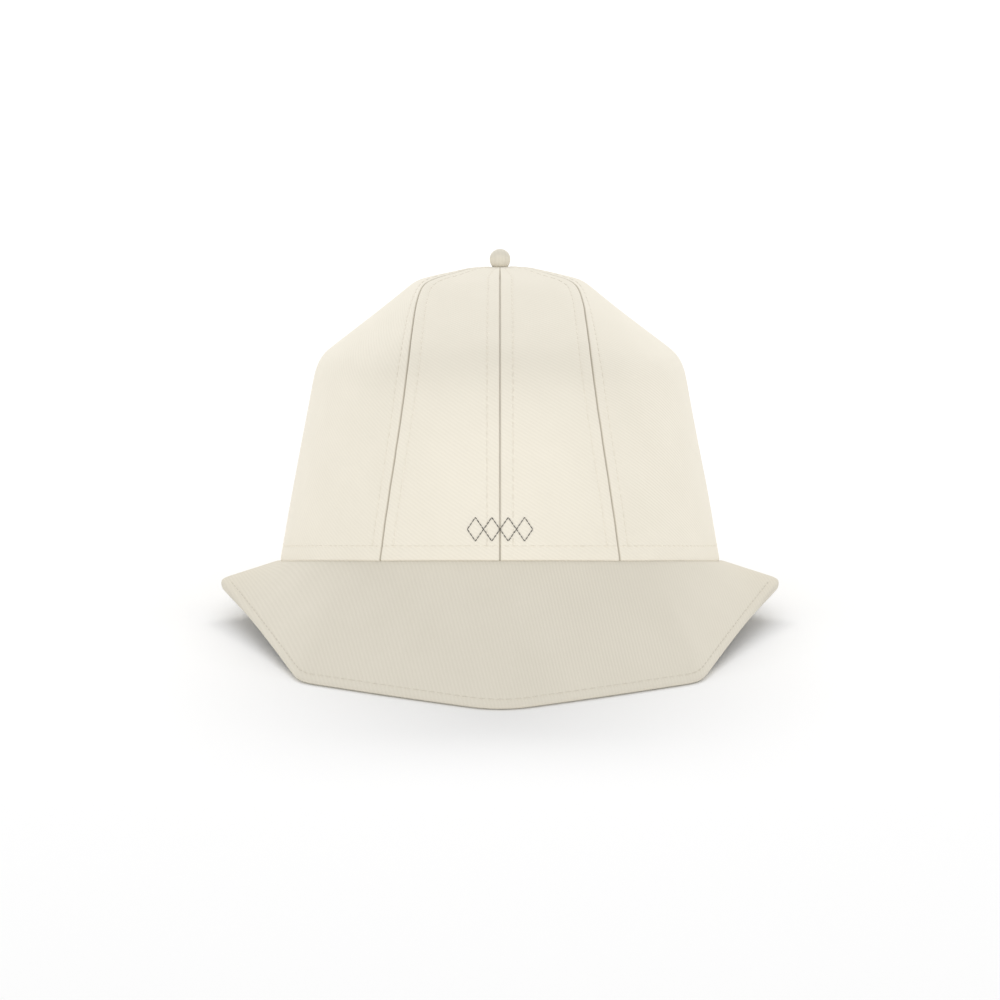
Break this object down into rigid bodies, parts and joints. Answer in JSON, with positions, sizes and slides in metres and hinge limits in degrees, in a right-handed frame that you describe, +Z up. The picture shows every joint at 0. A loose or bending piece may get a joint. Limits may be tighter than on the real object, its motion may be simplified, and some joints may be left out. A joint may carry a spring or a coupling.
{
  "type": "six-panel cloth cap with a wide front peak",
  "caption": "Soft cloth cap sewn from shaped panels to a rounded crown, with a covered button on top and a wide stiff peak along the front of its hem.",
  "frame": {"origin": "middle of the cap's footprint, on the floor that it rests on", "axes": "+Z up, -Y the way the peak points, X = 0 the cap's mirror plane with +X on the wearer's left"},
  "size_m": [0.2156, 0.2542, 0.1347],
  "materials": {
    "crown_cloth": "cream cotton twill, matt",
    "peak_cloth": "beige cotton twill over a stiff board, matt",
    "button_cloth": "beige cotton twill drawn over a ball, matt"
  },
  "bodies": {
    "root": {"panel_front_left": "crown_cloth", "panel_front_right": "crown_cloth", "panel_side_left": "crown_cloth", "panel_side_right": "crown_cloth", "panel_back_left": "crown_cloth", "panel_back_right": "crown_cloth", "button": "button_cloth", "peak": "peak_cloth"}
  },
  "joints": []
}
